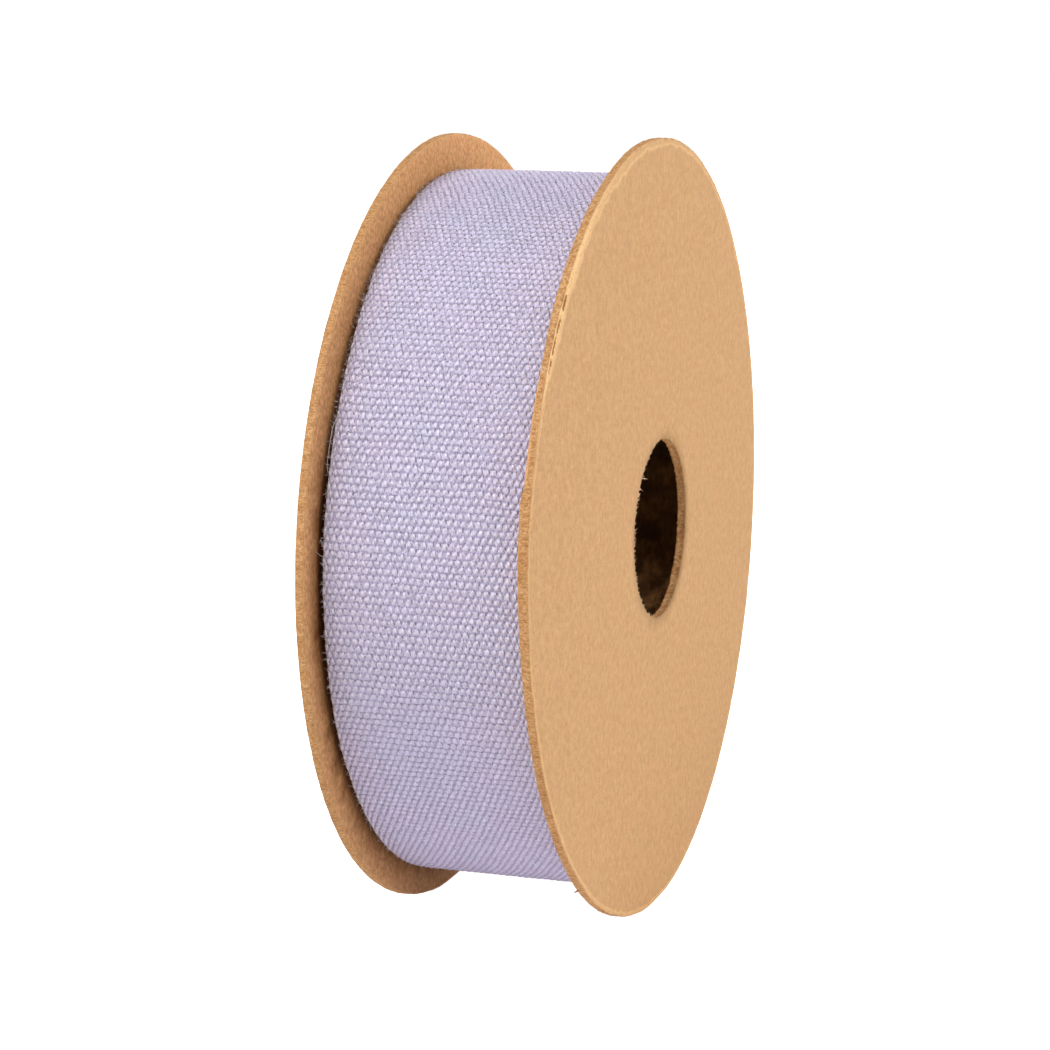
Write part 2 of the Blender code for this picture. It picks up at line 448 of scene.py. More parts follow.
def board_shape(bow, rolled, crack, flaky, spread, seed):
    """A board's points with its outer face towards +X, and what each point is made of."""
    angle = np.linspace(0, math.tau, BOARD_STEPS, endpoint=False)[:, None]
    ring = angle[:, 0]
    rolled_width = along_ring(rolled, ring) * (1 + 0.22 * uneven_ring(BOARD_STEPS, 3, seed + 6))
    rolled_width = np.maximum(rolled_width, NARROWEST_ROLLED_EDGE)[:, None]
    crack_depth = along_ring(crack, ring)[:, None]
    edge_spread = along_ring(spread, ring)[:, None]
    flakiness = along_ring(flaky, ring)[:, None]
    wobble = RIM_WOBBLE * 0.5 * (uneven_ring(BOARD_STEPS, 16, seed) - 1)
    roughness = RIM_ROUGHNESS * uneven_ring(BOARD_STEPS, 2, seed + 1)
    rim_radius = BOARD_RADIUS + (wobble + roughness)[:, None]
    coarse_rag = np.abs(uneven_ring(BOARD_STEPS, 3, seed + 2))
    fine_rag = np.abs(uneven_ring(BOARD_STEPS, 1.5, seed + 3))
    rag = (coarse_rag + 0.5 * fine_rag)[:, None]
    hole_radius = HOLE_RADIUS - HOLE_RAG * rag

    edge_radius = rim_radius - CORNER
    rolled_radius = edge_radius - rolled_width * ROLLED_SHARES[None, :]
    out = np.linspace(0, 1, FACE_RINGS)[None, :-1]
    inner_radius = hole_radius + (rolled_radius[:, :1] - hole_radius) * out
    face_radius = np.concatenate([inner_radius, rolled_radius], axis=1)
    into_roll = np.clip(1 - (edge_radius - face_radius) / rolled_width, 0, 1)
    crest = np.exp(-(((edge_radius - face_radius) / rolled_width - 0.90) ** 2) / 0.06)
    hills = FACE_UNEVENNESS * uneven(BOARD_STEPS, face_radius.shape[1], 90, 7, seed + 4)
    hills = hills * np.sin(ring / 2)[:, None]

    off_crack = (edge_radius - face_radius - CRACK_PLACE) / CRACK_REACH
    face_crack = np.exp(-(off_crack**2)) * crack_depth
    outer_x = -0.085 * rolled_width * into_roll**2 + CREST_HEIGHT * crest
    outer_x = outer_x - 0.3 * face_crack + hills
    inner_x = -BOARD_THICKNESS + INNER_LIP * into_roll**4 - edge_spread * into_roll**3 + hills

    share = RIM_SHARES[None, :]
    in_crack = np.exp(-(((share - CRACK_SHARE) / CRACK_HALF_WIDTH) ** 2))
    ribs = RIM_ROUGHNESS * uneven(BOARD_STEPS, len(RIM_SHARES), 1.2, 5, seed + 5)
    rim_r = rim_radius - rounded_edge(share) - rounded_edge(1 - share)
    rim_r = rim_r - 0.4 * crack_depth * in_crack + ribs
    rim_x = outer_x[:, -1:] + (inner_x[:, -1:] - outer_x[:, -1:]) * share

    wall_share = np.linspace(0.15, 0.85, 5)[None, :]
    wall_x = inner_x[:, :1] + (outer_x[:, :1] - inner_x[:, :1]) * wall_share
    wall_r = hole_radius + HOLE_RAG * rag * 0.8 * np.sin(wall_share * math.pi)

    radius = np.concatenate([face_radius, rim_r, face_radius[:, ::-1], wall_r], axis=1)
    local_x = np.concatenate([outer_x, rim_x, inner_x[:, ::-1], wall_x], axis=1)

    y = radius * np.cos(angle)
    z = radius * np.sin(angle)
    off_back = np.remainder(angle - BACK_FLARE_ANGLE + math.pi, math.tau) - math.pi
    flared = bow[2] * np.exp(-((off_back / BACK_FLARE_SPAN) ** 2)) * (radius / BOARD_RADIUS) ** 2
    dome = BOARD_DOME * (1 - (radius / BOARD_RADIUS) ** 2)
    bowed = (bow[0] * (y * y - z * z) + bow[1] * 2 * y * z) / BOARD_RADIUS**2
    x = BOARD_RIM_HALF_SPAN + local_x + dome + bowed + flared - z * math.sin(BOARD_LEAN)
    points = np.stack([x, y, np.maximum(AXIS_HEIGHT + z, 0.0)], axis=-1)

    plain = np.zeros_like(face_radius)
    no_wall = np.zeros_like(wall_r)
    no_rim = np.zeros_like(rim_r)
    cut_rim = no_rim + np.clip(np.minimum(share, 1 - share) / 0.07, 0, 1)
    opened = 0.15 * np.clip(in_crack * crack_depth / CRACK_FULL_DEPTH, 0, 1)
    face_opened = np.clip(face_crack / CRACK_FULL_DEPTH, 0, 1)
    rim_crest = np.clip(1 - cut_rim, 0, 0.6)
    inner_crest = np.clip(into_roll[:, ::-1] - 0.7, 0, 1) * 2
    face_flaky = flakiness * np.clip(1.35 - (edge_radius - face_radius) / rolled_width, 0, 1)
    # Painted shade on the inner face beside the roll.
    open_side, deep_side = BESIDE_ROLL_SHADE_RADII
    beside_roll_shade = np.clip((open_side - face_radius[:, ::-1]) / (open_side - deep_side), 0, 1)
    beside_roll_shade = beside_roll_shade * along_ring(BESIDE_ROLL_SHADE_SHARES, angle)
    made_of = {
        "rolled": [into_roll > 0.02, 1 - cut_rim, plain, no_wall],
        "crest": [crest, rim_crest, inner_crest, no_wall],
        "cut": [plain, cut_rim, plain, no_wall + 1],
        "crack": [face_opened, opened, plain, no_wall],
        "flaky": [face_flaky, no_rim + flakiness, face_flaky[:, ::-1], no_wall + 0.25],
        "inner": [plain, no_rim, plain + 1, no_wall],
        "beside_roll_shade": [plain, no_rim, beside_roll_shade, no_wall],
        "hole_wall": [plain, no_rim, plain, no_wall + 1],
    }
    return points, {layer: np.concatenate(columns, axis=1) for layer, columns in made_of.items()}


def kraft_board():
    shader = Shader("kraft_board", roughness=0.85)
    shader.surface.inputs["Specular IOR Level"].default_value = 0.25
    where = shader.place()
    clouds = shader.noise(where, 2.6 * MM, detail=3)
    mottle = shader.noise(where, 0.75 * MM, detail=3)
    slanting = shader.place(stretch=(1, 0.8, 0.40), turn=(0.10, 0, 0))
    flecks = shader.noise(slanting, 0.26 * MM, detail=2)
    grain = shader.noise(shader.place(stretch=(1, 0.6, 1)), 0.15 * MM, detail=3, rough=0.65)
    tone = shader.maths("MULTIPLY", shader.band(flecks, 0.28, 0.72, 0.95, 1.05),
                        shader.band(grain, 0.28, 0.72, 0.93, 1.07))
    tone = shader.maths("MULTIPLY", tone, shader.band(mottle, 0.28, 0.72, 0.95, 1.05))
    face = shader.mix(shader.band(clouds, 0.3, 0.7), KRAFT_YELLOW, KRAFT_PINK)
    face = shader.weathered(face, tone)

    fibre_height = grain
    for turn, tint, seen in KRAFT_FIBRES:
        lying = shader.place(stretch=(1, 1, 0.17), turn=(math.radians(turn), 0, 0))
        strokes = shader.noise(lying, 0.19 * MM, detail=1)
        mask = shader.band(strokes, 0.67, 0.77)
        face = shader.mix(shader.maths("MULTIPLY", mask, seen), face, tint)
        fibre_height = shader.maths("ADD", fibre_height, shader.maths("MULTIPLY", mask, 0.4))
    specks = shader.noise(where, 0.30 * MM, detail=0)
    face = shader.mix(shader.band(specks, 0.80, 0.86, 0.0, 0.5), face, SPECK_BROWN)

    flaky = shader.layer("flaky")
    # The rolled edge painted pale: partly lifted paper, partly a painted highlight.
    lifted_and_lit = shader.band(flaky, 0.3, 1.0, 0.15, 0.95)
    face = shader.mix(shader.maths("MULTIPLY", shader.layer("rolled"), lifted_and_lit), face, LIP_PALE_AND_HIGHLIGHT)
    flakes = shader.noise(where, 0.35 * MM, detail=3)
    # Pale crests along the rolled edge and the rim's corners: partly burred paper, partly a painted
    # highlight.
    pale = shader.maths("MULTIPLY", shader.layer("crest"), shader.band(flakes, 0.35, 0.55, 0.30, 0.90))
    face = shader.mix(pale, face, KRAFT_PALE)

    coarse = shader.noise(shader.place(stretch=(1, 0.6, 0.5)), 0.24 * MM, detail=3, rough=0.6)
    # The insides painted warmer and lighter as bounced light, with random mottle.
    inside = shader.tinted(face, INSIDE_BOUNCE_LIGHT_TINT)
    inside = shader.weathered(inside, shader.band(coarse, 0.32, 0.68, 0.84, 1.16))
    face = shader.mix(shader.layer("inner"), face, inside)
    # Painted shade on the insides beside the roll.
    face = shader.mix(shader.layer("beside_roll_shade"), face, shader.tinted(face, BESIDE_ROLL_SHADE_TINT))

    ribs = shader.noise(shader.place(stretch=(0.5, 1, 1)), 0.17 * MM, detail=3, rough=0.7)
    broad_ribs = shader.noise(shader.place(stretch=(0.5, 1, 1)), 0.8 * MM, detail=3)
    rim = shader.mix(shader.band(broad_ribs, 0.3, 0.7), RIM_BROWN, RIM_PALE)
    rim = shader.weathered(rim, shader.band(ribs, 0.30, 0.70, 0.70, 1.30))
    # Painted light on the hole wall, strongest low down.
    painted_wall_light = shader.band(shader.xyz(where)[2], *HOLE_WALL_LIGHT_HEIGHTS, 1.65, 1.25)
    rim = shader.mix(shader.layer("hole_wall"), rim, shader.brighten(rim, painted_wall_light))
    cut = shader.layer("cut")
    colour = shader.mix(cut, face, rim)
    chips = shader.noise(where, 0.32 * MM, detail=3, rough=0.65)
    pits = shader.noise(shader.place(turn=(1.0, 0.4, 0.0)), 0.26 * MM, detail=2, rough=0.65)
    share = shader.maths("MULTIPLY", flaky, 0.55)
    for mask, tint in ((shader.band(chips, 0.53, 0.60), FLAKE_PALE),
                       (shader.band(pits, 0.58, 0.66), PIT_BROWN)):
        colour = shader.mix(shader.maths("MULTIPLY", mask, share), colour, tint)
    torn = shader.maths("ADD", shader.layer("crack"), shader.band(chips, 0.3, 0.7, 0.35, -0.35))
    colour = shader.mix(shader.band(torn, 0.46, 0.86), colour, CRACK_BROWN)

    normal = shader.bump(shader.maths("MULTIPLY", cut, ribs), 0.06 * MM)
    normal = shader.bump(fibre_height, 0.015 * MM, under=normal)
    return shader.finish(colour, normal)


def add_board(name, node, side, shape, material):
    points, made_of = shape
    points = points * np.array([side, 1, 1])
    mesh = quad_mesh(name, points, join_rows=True, join_columns=True, flip=side < 0)
    for layer, values in made_of.items():
        stored = mesh.attributes.new(layer, "FLOAT", "POINT")
        stored.data.foreach_set("value", values.ravel().astype(float))
    board = add_piece(name, mesh, material)
    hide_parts(node)
    return board


PLAIN_ROLLED_EDGE = [(0, 0.45 * MM), (360, 0.45 * MM)]
NOT_OPENED = [(0, 0.0), (360, 0.0)]
PLAIN_FLAKY = [(0, 0.18), (360, 0.18)]

kraft = kraft_board()
front_shape = board_shape(
    FRONT_BOW, FRONT_ROLLED_EDGE, FRONT_CRACK, FRONT_FLAKY, FRONT_SPREAD, seed=11
)
back_shape = board_shape(
    BACK_BOW, PLAIN_ROLLED_EDGE, NOT_OPENED, PLAIN_FLAKY, NOT_OPENED, seed=41
)
front_board = add_board("front_board", "board_front", 1, front_shape, kraft)
back_board = add_board("back_board", "board_back", -1, back_shape, kraft)

# Ribbon
# One long strip of plain-woven cotton, wound tightly on the tube in about thirty turns.
# The outermost turn is woven here thread by thread: each warp end rises over one weft
# pick and dips under the next. Its cut end lies flat at the back, low down.

ENDS = 58
PICKS_PER_TURN = 328
TURN_PITCH = 0.6 * MM
CLOTH_THICKNESS = 0.50 * MM
ROLL_SAG = 0.2 * MM
CUT_END_ANGLE = math.radians(347.3)
OVERLAP = math.radians(20)
RELIEF = 0.25 * MM

# Heights in the weave, from 0 where it is deepest to 1 on a crown: beside a crown, between
# two floats, at the two ends of a float, where four floats meet, and along the selvedges.
BESIDE = 0.88
BETWEEN = 0.50
TIP_ABOVE = 0.60
TIP_BELOW = 0.20
CORNER_LEVEL = 0.36
CORNER_SLANT = 0.20
SELVEDGE_LEVEL = 0.66

# The selvedges, where the ends lie closer together and the weft turns back.
SELVEDGE_ENDS = 3
SELVEDGE_CLOSENESS = 0.78
SELVEDGE_ROUND = 0.10 * MM
SELVEDGE_INSET = 0.05 * MM
EDGE_LOOP = 0.02 * MM
LOOP_UNEVENNESS = 0.03 * MM
BODY_DROP = 0.03 * MM

# How far the turns, ends and picks stray from even places, and slanting floats lean over.
ROLL_UNEVENNESS = 0.03 * MM
SIDE_SHIFT = -0.26 * MM
SIDE_WANDER = 0.08 * MM
END_WANDER = 0.030 * MM
PICK_WANDER = 0.10 * MM
JITTER = 0.018 * MM
LEAN_ACROSS = 0.060 * MM
LEAN_ALONG = 0.06

# A float's crown in the finish: its length in picks, its width in ends, and its lean.
FLOAT_LENGTH = 0.70
FLOAT_WIDTH = 1.30
FLOAT_PEAK = 0.35
FLOAT_NARROWING = 0.45
FLOAT_LEAN = 0.16
LOW_LEAN = 0.55
FLOAT_BULGE = 0.54 * MM

# Heights between which the finish changes low on the roll, between which painted shade darkens it
# lower down, and between which painted shade darkens it near its top.
LOW_HEIGHTS = (14 * MM, 40 * MM)
SHADED_HEIGHTS = (26 * MM, 44 * MM)
TOP_SHADE_HEIGHTS = (68 * MM, 76 * MM)

LILAC_PINK = (0.800, 0.705, 0.970)
LILAC_BLUE = (0.765, 0.720, 0.980)
# Painted shade for the weave's valleys, a little lighter low on the roll.
LILAC_VALLEY_SHADE = (0.380, 0.315, 0.520)
LILAC_LOW_VALLEY_SHADE = (0.400, 0.335, 0.535)
# A painted highlight for the floats' crowns.
LILAC_CROWN_HIGHLIGHT = (0.910, 0.850, 1.000)
SELVEDGE_PALE = (0.930, 0.840, 0.930)

roll_low, roll_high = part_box("ribbon_roll")
RIBBON_WIDTH = roll_high.x - roll_low.x
ROLL_MEAN_RADIUS = (roll_high.z - roll_low.z) / 2
ROLL_DROP = np.array([0, 0, -ROLL_SAG])

# Angle in degrees, and how much the floats there slant down to the left.
WEAVE_SLANT = [
    (0, 0.4),
    (70, 0.1),
    (150, 0.1),
    (190, 0.3),
    (212, 1.2),
    (228, 1.8),
    (275, 1.6),
    (310, 0.6),
    (360, 0.4),
]

# Angle in degrees, and how deep the weave is there, as a share of its relief.
WEAVE_DEPTH = [
    (0, 0.90),
    (60, 1.00),
    (190, 1.00),
    (215, 0.80),
    (230, 0.70),
    (280, 0.70),
    (320, 0.90),
    (360, 0.90),
]

# Thick places in the yarn: angle in degrees, place across, height, length along, width.
SLUBS = [
    (259.5, -2.75 * MM, 0.15 * MM, 0.9 * MM, 0.30 * MM),
    (258.8, -1.65 * MM, 0.17 * MM, 0.8 * MM, 0.30 * MM),
    (171.0, -6.90 * MM, 0.06 * MM, 2.6 * MM, 0.16 * MM),
    (206.0, 4.10 * MM, 0.06 * MM, 3.0 * MM, 0.16 * MM),
    (122.0, 2.30 * MM, 0.05 * MM, 2.2 * MM, 0.16 * MM),
    (60.0, -3.00 * MM, 0.07 * MM, 2.8 * MM, 0.16 * MM),
    (20.0, 5.20 * MM, 0.06 * MM, 2.4 * MM, 0.16 * MM),
    (310.0, 0.60 * MM, 0.07 * MM, 2.8 * MM, 0.16 * MM),
]


def slant(pick_number):
    """How much the floats over a pick slant."""
    unwound = pick_number * math.tau / PICKS_PER_TURN
    return along_ring(WEAVE_SLANT, (CUT_END_ANGLE - unwound) % math.tau)


def outside_radius(unwound):
    """The outside of the roll, at an angle unwound from the ribbon's cut end."""
    return ROLL_MEAN_RADIUS + TURN_PITCH / 2 - TURN_PITCH * unwound / math.tau


def end_places():
    """Where each warp end lies across the ribbon, closer together at the selvedges."""
    width = np.ones(ENDS)
    width[:SELVEDGE_ENDS] = SELVEDGE_CLOSENESS
    width[-SELVEDGE_ENDS:] = SELVEDGE_CLOSENESS
    middle = np.cumsum(width) - width / 2
    return (middle / width.sum() - 0.5) * RIBBON_WIDTH


def woven_height(picks):
    """The height of the cloth's face, from 0 where it is deepest to 1.

    It has two rows a pick and two columns an end.
    """
    draw = np.random.default_rng(7)
    end_number = np.arange(ENDS)[None, :]
    pick_number = np.arange(picks)[:, None]
    over = (end_number + pick_number) % 2 == 0
    fullness = 1 + 0.07 * draw.standard_normal((picks, ENDS))
    fullness = fullness * (1 + 0.05 * draw.standard_normal((1, ENDS)))
    fullness = np.clip(fullness * (1 + 0.05 * draw.standard_normal((picks, 1))), 0.7, 1.3)
    after = np.roll(fullness, -1, axis=0)
    height = np.zeros((2 * picks, 2 * ENDS - 1))
    height[0::2, 0::2] = np.where(over, fullness, BETWEEN)
    height[1::2, 0::2] = np.where(over, TIP_ABOVE * fullness, TIP_BELOW * after)
    height[0::2, 1::2] = BESIDE * np.where(over[:, :-1], fullness[:, :-1], fullness[:, 1:])
    corner = CORNER_SLANT * slant(pick_number)
    corner_height = np.clip(CORNER_LEVEL + np.where(over[:, :-1], corner, -corner), 0.1, 0.75)
    height[1::2, 1::2] = corner_height * fullness[:, :-1]
    from_edge = np.minimum(np.arange(2 * ENDS - 1), np.arange(2 * ENDS - 1)[::-1]) / 2
    open_weave = np.clip((from_edge + 0.5) / 3, 0, 1)
    height = SELVEDGE_LEVEL + (height - SELVEDGE_LEVEL) * open_weave
    return height, over


def ribbon_face(picks):
    """The outermost turn's face: place across, radius, angle unwound, and thread counts."""
    height, over = woven_height(picks)
    rows, columns = height.shape
    end_count = (np.arange(columns) / 2)[None, :].repeat(rows, axis=0)
    pick_count = (np.arange(rows) / 2)[:, None].repeat(columns, axis=1)
    leaning = (np.where(over, 1, -1) * slant(np.arange(picks)[:, None]))[:, 1:-1]
    end_count[1::2, 2:-2:2] += LEAN_ACROSS * ENDS / RIBBON_WIDTH * leaning
    pick_count[1::2, 2:-2:2] += LEAN_ALONG * leaning
    across = np.interp(end_count, np.arange(ENDS), end_places())
    across += END_WANDER * uneven(rows, columns, 26, 3, seed=21)
    across += JITTER * uneven(rows, columns, 1.5, 1.5, seed=26)
    across += SIDE_SHIFT + SIDE_WANDER * uneven(rows, 1, 90, 1, seed=22)

    unwound = pick_count * math.tau / PICKS_PER_TURN
    depth = RELIEF * along_ring(WEAVE_DEPTH, (CUT_END_ANGLE - unwound) % math.tau)
    radius = outside_radius(unwound) - depth * (1 - height)
    radius += ROLL_UNEVENNESS * uneven(rows, columns, 40, 30, seed=23)
    along = PICK_WANDER * uneven(rows, columns, 9, 22, seed=24)
    along += 1.5 * JITTER * uneven(rows, columns, 1.5, 1.5, seed=27)
    turned = unwound + along / ROLL_MEAN_RADIUS
    for degrees, x, high, long, wide in SLUBS:
        off = CUT_END_ANGLE - unwound - math.radians(degrees)
        off = np.remainder(off + math.pi, math.tau) - math.pi
        bulge = np.exp(-((off * ROLL_MEAN_RADIUS / long) ** 2) - ((across - x) / wide) ** 2)
        radius = radius + high * bulge * (unwound < math.tau)
    return across, radius, turned, np.stack([end_count, pick_count], axis=-1)


def ribbon_points(across, radius, turned, threads):
    """Carries the face round both selvedges to the underside, as closed sections."""
    rows = across.shape[0]
    unwound = np.mean(turned, axis=1, keepdims=True)
    base = outside_radius(unwound)
    loops = EDGE_LOOP * np.cos(np.arange(rows) * math.pi / 2)[:, None]
    loops = loops + LOOP_UNEVENNESS * uneven(rows, 1, 3, 1, seed=25)
    right = across[:, -1:] + SELVEDGE_ROUND + loops
    left = across[:, :1] - SELVEDGE_ROUND - loops
    middle = (left + right) / 2
    inset = SELVEDGE_INSET
    edge_x = [right - inset * 0.4, right, right - inset * 2, right - 1 * MM, middle,
              left + 1 * MM, left + inset * 2, left, left + inset * 0.4]
    edge_depth = [0.16, 0.45, 0.85, 1.0, 1.0, 1.0, 0.85, 0.45, 0.16]
    edge_u = [ENDS, ENDS + 0.5, ENDS + 1, ENDS - 3, ENDS / 2, 2, -1.5, -1, -0.5]
    across = np.concatenate([across, *edge_x], axis=1)
    under = [base - BODY_DROP - CLOTH_THICKNESS * depth for depth in edge_depth]
    radius = np.concatenate([radius, *under], axis=1)
    turned = np.concatenate([turned, *[unwound] * len(edge_x)], axis=1)
    u = np.concatenate([threads[:, :, 0], np.tile(edge_u, (rows, 1))], axis=1)
    edge_v = np.tile(threads[:, :1, 1], (1, len(edge_u)))
    v = np.concatenate([threads[:, :, 1], edge_v], axis=1)
    points = round_axis(across, radius, CUT_END_ANGLE - turned) + ROLL_DROP
    return points, np.stack([u, v], axis=-1)


def mark_threads(mesh, threads):
    """Stores each point's thread counts as the UV map that the cotton's finish reads."""
    layer = mesh.uv_layers.new(name="threads")
    corner_points = np.zeros(len(mesh.loops), int)
    mesh.loops.foreach_get("vertex_index", corner_points)
    layer.data.foreach_set("uv", threads.reshape(-1, 2)[corner_points].ravel())


def lilac_cotton():
    shader = Shader("lilac_cotton", roughness=0.9)
    shader.surface.inputs["Specular IOR Level"].default_value = 0.25
    shader.surface.inputs["Sheen Weight"].default_value = 0.06
    shader.surface.inputs["Sheen Roughness"].default_value = 0.5
    where = shader.place()
    end_count, pick_count, _ = shader.xyz(shader.add("ShaderNodeUVMap", uv_map="threads"))
    shake = shader.noise(where, 0.30 * MM, detail=2)
    shift = shader.noise(where, 0.55 * MM, detail=1)
    height = shader.xyz(where)[2]
    underneath = shader.band(height, *LOW_HEIGHTS, 1.0, 0.0)
    lean = shader.maths("MULTIPLY", underneath, LOW_LEAN - FLOAT_LEAN)
    lean = shader.maths("ADD", FLOAT_LEAN, lean)
    u = shader.maths("ADD", end_count, shader.band(shake, 0.2, 0.8, -0.12, 0.12))
    v = shader.maths("ADD", pick_count, shader.band(shift, 0.2, 0.8, -0.10, 0.10))

    def float_on(pick):
        """1 on the crown of the nearest warp float over this pick, and 0 at its edge."""
        from_pick = shader.maths("SUBTRACT", v, pick)
        along = shader.maths("DIVIDE", from_pick, FLOAT_LENGTH)
        along = shader.maths("SUBTRACT", along, FLOAT_PEAK)
        leaning = shader.maths("MULTIPLY", from_pick, lean)
        beside = shader.maths("SUBTRACT", shader.maths("SUBTRACT", u, pick), leaning)
        sideways = shader.add(
            "ShaderNodeMath", inputs={0: beside, 1: 1.0, 2: -1.0}, operation="WRAP"
        )
        width = shader.maths("SUBTRACT", 1.0, shader.maths("MULTIPLY", along, FLOAT_NARROWING))
        across = shader.maths("DIVIDE", sideways, shader.maths("MULTIPLY", width, FLOAT_WIDTH))
        upper = shader.maths("DIVIDE", shader.maths("MAXIMUM", along, 0.0), 1 - FLOAT_PEAK)
        lower = shader.maths("DIVIDE", shader.maths("MINIMUM", along, 0.0), 1 + FLOAT_PEAK)
        away = shader.maths("MULTIPLY", across, across)
        for part in (upper, lower):
            away = shader.maths("ADD", away, shader.maths("MULTIPLY", part, part))
        return shader.maths("SUBTRACT", 1.0, away, clamp=True)

    below = shader.maths("FLOOR", v)
    above = shader.maths("ADD", below, 1.0)
    raised = shader.maths("MAXIMUM", float_on(below), float_on(above))

    patches = shader.noise(where, 5 * MM, detail=3)
    yarn = shader.noise(where, 0.5 * MM, detail=2)
    hairs = shader.noise(shader.place(stretch=(1, 0.35, 0.35)), 0.10 * MM, detail=2, rough=0.6)
    fuzz = shader.noise(where, 0.07 * MM, detail=2, rough=0.6)
    base = shader.mix(shader.band(patches, 0.3, 0.7), LILAC_PINK, LILAC_BLUE)
    # Painted shade: the valleys between floats take this darker colour.
    valley_shade = shader.mix(underneath, LILAC_VALLEY_SHADE, LILAC_LOW_VALLEY_SHADE)
    narrow = shader.maths("POWER", raised, shader.band(underneath, 0, 1, 1.0, 0.5))
    colour = shader.mix(shader.band(narrow, 0.0, 0.38), valley_shade, base)
    # Painted highlight on the floats' crowns, weaker low on the roll.
    crown = shader.maths("MULTIPLY", shader.band(raised, 0.45, 1.0, 0.0, 0.8),
                         shader.band(underneath, 0, 1, 1.0, 0.35))
    colour = shader.mix(crown, colour, LILAC_CROWN_HIGHLIGHT)
    # Painted shade in slanting grooves low on the roll.
    diagonal = shader.maths("MULTIPLY", shader.maths("SUBTRACT", u, v), math.pi)
    groove = shader.band(shader.maths("COSINE", diagonal), -1.0, 0.2, 0.42, 0.0)
    for _ in range(2):
        groove = shader.maths("MULTIPLY", groove, underneath)
    colour = shader.mix(groove, colour, valley_shade)
    at_edge = shader.maths("MAXIMUM", shader.band(end_count, 0.2, 0.9, 1.0, 0.0),
                           shader.band(end_count, ENDS - 1.9, ENDS - 1.2))
    colour = shader.mix(shader.maths("MULTIPLY", at_edge, 0.7), colour, SELVEDGE_PALE)
    tone = shader.maths("MULTIPLY", shader.band(yarn, 0.25, 0.75, 0.92, 1.08),
                        shader.band(fuzz, 0.2, 0.8, 0.80, 1.20))
    # The yarn's random tone, and painted shade low on the roll and near its top.
    for factor in (shader.band(hairs, 0.25, 0.75, 0.80, 1.20),
                   shader.band(underneath, 0, 1, 1.0, 0.96),
                   shader.band(height, *SHADED_HEIGHTS, 0.91, 1.0),
                   shader.band(height, *TOP_SHADE_HEIGHTS, 1.0, 0.86)):
        tone = shader.maths("MULTIPLY", tone, factor)
    colour = shader.brighten(colour, tone)

    twist = shader.maths("ADD", shader.maths("MULTIPLY", u, 9.0), shader.maths("MULTIPLY", v, 7.5))
    swell = shader.maths("MULTIPLY", shader.maths("POWER", narrow, 0.95),
                         shader.band(underneath, 0, 1, 1.0, 0.65))
    normal = shader.bump(swell, FLOAT_BULGE)
    normal = shader.bump(shader.maths("SINE", twist), 0.012 * MM, under=normal)
    normal = shader.bump(fuzz, 0.02 * MM, under=normal)
    return shader.finish(colour, normal)


cotton = lilac_cotton()
outer_picks = math.ceil(PICKS_PER_TURN * (1 + OVERLAP / math.tau))
outer_points, outer_threads = ribbon_points(*ribbon_face(outer_picks))
outer_mesh = quad_mesh("ribbon", outer_points, join_columns=True, cap_ends=True)
mark_threads(outer_mesh, outer_threads)
ribbon = add_piece("ribbon", outer_mesh, cotton)
outer_unwound = outer_picks * math.tau / PICKS_PER_TURN
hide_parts("ribbon_roll")

# Inner turns
# The rest of the same ribbon, turn upon turn down to the tube. Only its selvedges can be
# seen, through the narrow gaps beside the boards, so its face is left smooth.

INNER_STEP = math.radians(5)
INNER_NARROWER = 0.2 * MM

# The radius outside the innermost turn, which rests on the tube.
INNERMOST_OUTSIDE = TUBE_OUTER_RADIUS + ROLL_SAG + CLOTH_THICKNESS + 0.1 * MM

# The section of a turn: place across as a share of the width, and depth as one of the thickness.
INNER_SECTION = [
    (-0.497, 0.10),
    (-0.25, 0.0),
    (0.0, 0.0),
    (0.25, 0.0),
    (0.497, 0.10),
    (0.5, 0.5),
    (0.495, 0.9),
    (0.25, 1.0),
    (0.0, 1.0),
    (-0.25, 1.0),
    (-0.495, 0.9),
    (-0.5, 0.5),
]


def inner_turns():
    """The points of the inner turns, their thread counts, and the angle unwound at their end."""
    last = (outside_radius(0) - INNERMOST_OUTSIDE) / TURN_PITCH * math.tau
    unwound = np.arange(outer_unwound, last, INNER_STEP)[:, None]
    share_across, depth = np.array(INNER_SECTION).T
    side = SIDE_SHIFT + 2 * SIDE_WANDER * uneven(len(unwound), 1, 11, 1, seed=31)
    across = share_across[None, :] * (RIBBON_WIDTH - INNER_NARROWER) + side
    radius = outside_radius(unwound) - BODY_DROP - CLOTH_THICKNESS * depth[None, :]
    points = round_axis(across, radius, CUT_END_ANGLE - unwound) + ROLL_DROP
    u = (share_across + 0.5)[None, :] * ENDS + 0 * unwound
    v = unwound * PICKS_PER_TURN / math.tau + 0 * share_across[None, :]
    return points, np.stack([u, v], axis=-1), last


inner_points, inner_threads, all_unwound = inner_turns()
inner_mesh = quad_mesh("inner_turns", inner_points, join_columns=True, cap_ends=True)
mark_threads(inner_mesh, inner_threads)
inner = add_piece("inner_turns", inner_mesh, cotton)

# Fuzz
# Loose ends of cotton fibre that stand out of the ribbon: short curled ones all along
# both selvedges, fewer on its face, and one long one that has worked free.

FIBRE_RADIUS = 0.020 * MM
FIBRES_PER_SELVEDGE = 1500
FIBRES_ON_FACE = 260
FIBRE_JOINTS = 7
FREE_SIDE = 10.6 * MM
PALE_LILAC = (0.930, 0.850, 0.870)
PALE_COTTON = (0.930, 0.870, 0.880)

# Lengths of the selvedge's fibres in mm.
USUAL_FIBRE_LENGTH = 0.29
LONGEST_FIBRE = 1.1

# The long fibre's path: angle in degrees, place across and height over the face in mm.
LONG_FIBRE_PLACES = [
    (154.5, -9.90, -0.10),
    (156.5, -10.15, 0.10),
    (158.5, -10.20, 0.05),
    (160.5, -10.25, 0.00),
    (162.0, -10.30, -0.10),
    (162.8, -10.20, -0.20),
    (163.0, -10.05, -0.15),
]


